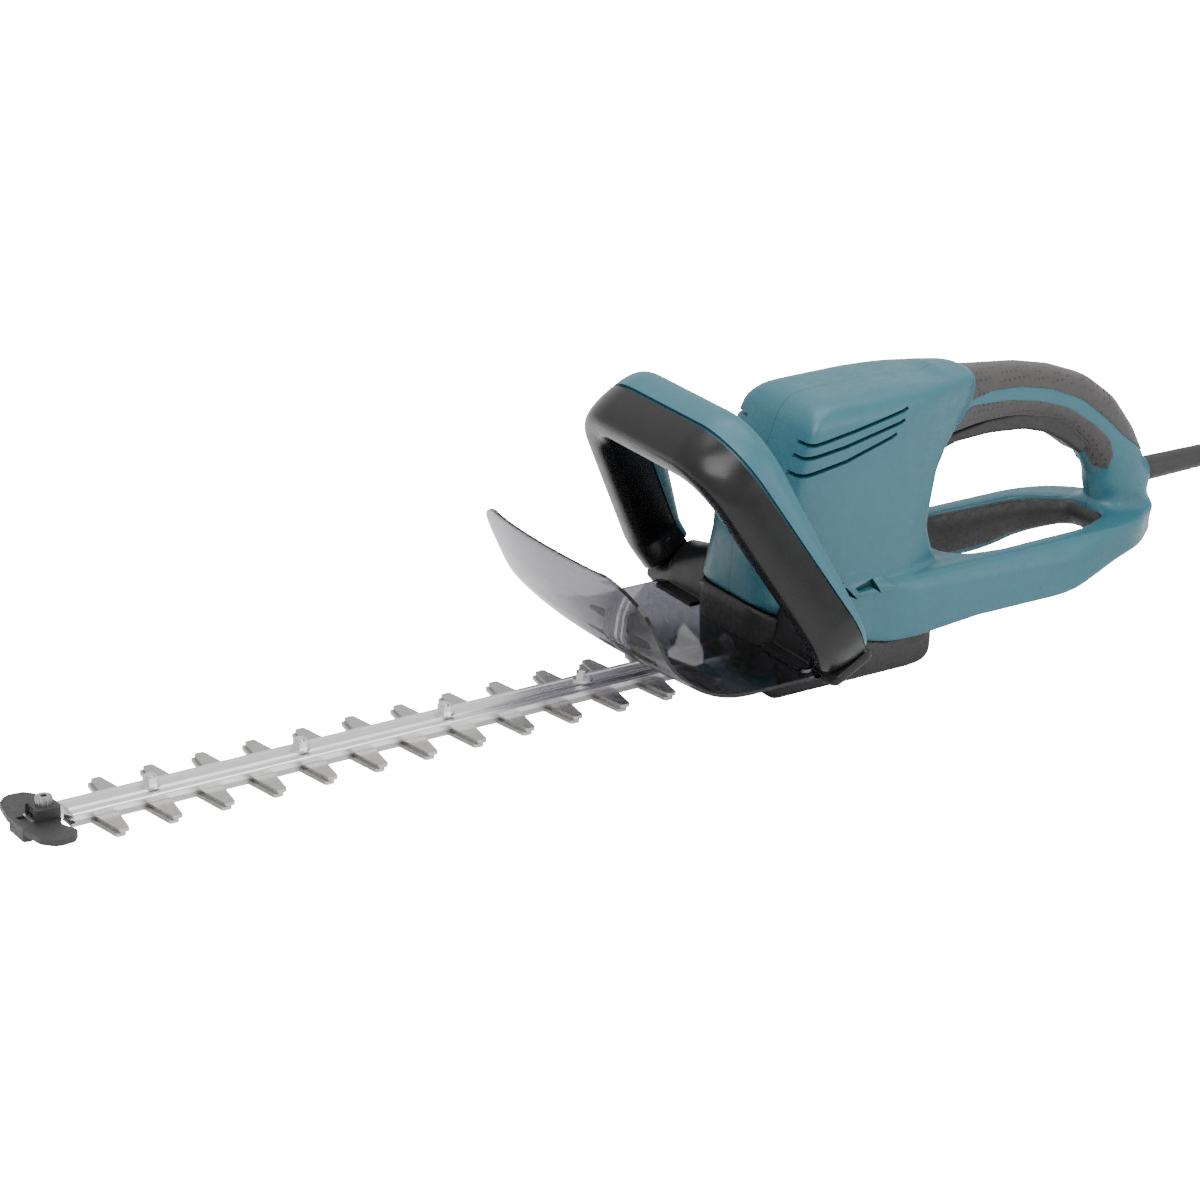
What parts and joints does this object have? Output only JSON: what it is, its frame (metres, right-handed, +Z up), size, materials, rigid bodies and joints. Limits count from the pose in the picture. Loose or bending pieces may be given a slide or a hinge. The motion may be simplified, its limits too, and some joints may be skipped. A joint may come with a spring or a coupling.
{
  "type": "hedge trimmer",
  "caption": "Electric hedge trimmer: two reciprocating toothed blades on a guide bar, clear hand shield, looped front handle with squeeze lever, arched rear handle with trigger.",
  "frame": {"origin": "on the floor under the flat base, on the centre plane, at the middle of the base's resting face", "axes": "+X from the blades' tip to the rear handle, +Y to the side away from the vents' view, +Z up; the tool rests on its base"},
  "size_m": [1.0075, 0.2772, 0.2181],
  "materials": {
    "teal_plastic": "satin",
    "black_gloss": "glossy",
    "dark_plastic": "matt",
    "grip_rubber": "dotted, matt",
    "lead_rubber": "satin",
    "smoke_clear": "clear, smoke tinted",
    "steel": "ground",
    "plated_steel": "zinc plated",
    "aluminium": "extruded, bright",
    "cast_alloy": "as cast",
    "lamination": "stacked sheet, varnished",
    "copper": "enamelled wire and bars",
    "brass": "plain"
  },
  "bodies": {
    "machine": {"housing_left": "teal_plastic", "housing_right": "teal_plastic", "base_cover": "dark_plastic", "gear_case": "cast_alloy", "handle_bracket": "dark_plastic", "front_handle": "teal_plastic", "lever_pins": "steel", "lever_spring": "steel", "lever_switch": "dark_plastic", "shield": "smoke_clear", "shield_screws": "plated_steel", "top_grip": "grip_rubber", "side_grip_left": "grip_rubber", "side_grip_right": "grip_rubber", "ring_liner": "grip_rubber", "trigger_pin": "steel", "trigger_spring": "steel", "trigger_switch": "dark_plastic", "stator": "lamination", "stator_coils": "copper", "motor_bearings": "steel", "brushes": "dark_plastic", "brush_holders": "brass", "crank_bearings": "steel", "guide_bar": "aluminium", "blade_bolts": "plated_steel", "blade_nuts": "plated_steel", "bar_screws": "plated_steel", "tip_guard": "dark_plastic", "tip_screw": "steel", "shell_screws": "plated_steel", "base_screws": "plated_steel", "cord_gland": "lead_rubber", "cord_guard": "lead_rubber", "cord": "lead_rubber", "plug": "lead_rubber", "plug_pins": "brass"},
    "rotor": {"rotor_core": "lamination", "rotor_shaft": "steel", "commutator": "copper", "cooling_fan": "dark_plastic", "rotor_pinion": "steel"},
    "crank": {"crank_gear": "steel", "crank_shaft": "steel"},
    "upper_knife": {"upper_blade": "steel", "upper_yoke": "steel"},
    "lower_knife": {"lower_blade": "steel", "lower_yoke": "steel"},
    "trigger": {"rear_trigger": "dark_plastic"},
    "lever": {"front_lever": "black_gloss"}
  },
  "joints": [
    {"name": "crank_spin", "type": "hinge", "parent": "machine", "child": "crank", "pos_m": [-0.011, 0, 0.04], "axis": [0, 0, 1], "continuous": true},
    {"name": "rotor_spin", "type": "hinge", "parent": "machine", "child": "rotor", "pos_m": [0.022, 0, 0.1], "axis": [0, 0, 1], "continuous": true},
    {"name": "upper_knife_slide", "type": "slide", "parent": "machine", "child": "upper_knife", "axis": [1, 0, 0], "range_m": [-0.005, 0.005]},
    {"name": "lower_knife_slide", "type": "slide", "parent": "machine", "child": "lower_knife", "axis": [1, 0, 0], "range_m": [-0.005, 0.005]},
    {"name": "trigger_pull", "type": "hinge", "parent": "machine", "child": "trigger", "pos_m": [0.219, 0, 0.1375], "axis": [0, 1, 0], "range_deg": [0, 4.5], "stiffness_Nm_per_rad": 0.6, "springref_deg": -11.46, "deforming": ["trigger_spring"]},
    {"name": "lever_squeeze", "type": "hinge", "parent": "machine", "child": "lever", "pos_m": [-0.0563, 0, 0.0705], "axis": [0, 1, 0], "range_deg": [0, 0.8], "stiffness_Nm_per_rad": 8, "springref_deg": -3.44}
  ],
  "couplings": [
    {"joint": "rotor_spin", "follows": "crank_spin", "ratio": -5},
    {"joint": "lower_knife_slide", "follows": "upper_knife_slide", "ratio": -1}
  ]
}
